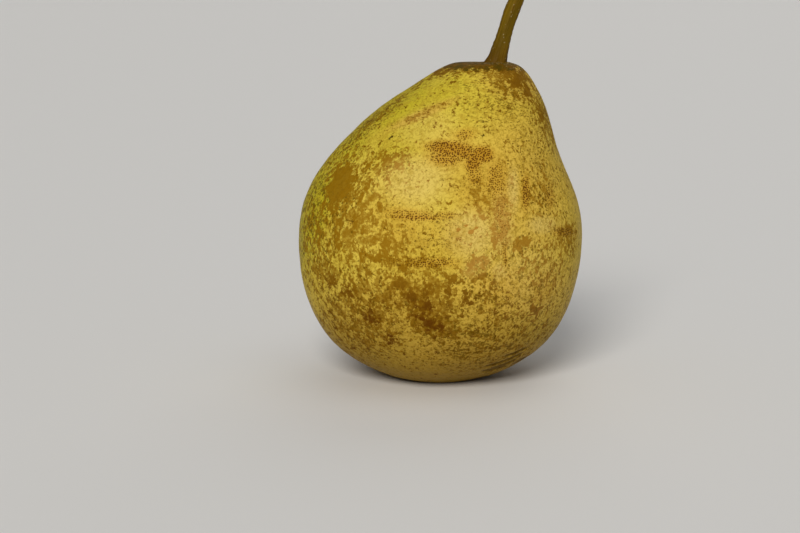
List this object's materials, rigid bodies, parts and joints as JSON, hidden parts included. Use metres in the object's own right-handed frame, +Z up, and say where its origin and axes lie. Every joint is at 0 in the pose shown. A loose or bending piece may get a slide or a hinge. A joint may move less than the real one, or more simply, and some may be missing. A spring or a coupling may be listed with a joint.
{
  "type": "pear",
  "caption": "Whole ripe pear standing on its blossom end, with a leaning woody stem and a dried calyx in the basin underneath.",
  "frame": {"origin": "on the surface that the pear stands on, under the middle of its outline seen from above", "axes": "+Z up along the fruit's height; -Y is the side that faces the viewer in the picture; the neck and stem lean towards +X"},
  "size_m": [0.075, 0.0728, 0.1103],
  "materials": {
    "skin": "satin yellow-green fruit skin with brown russet and dots",
    "stem_wood": "dull ridged olive-brown bark",
    "dried_calyx": "dry, brittle, dark brown"
  },
  "bodies": {
    "root": {"fruit": "skin", "stem": "stem_wood", "calyx": "dried_calyx"}
  },
  "joints": []
}
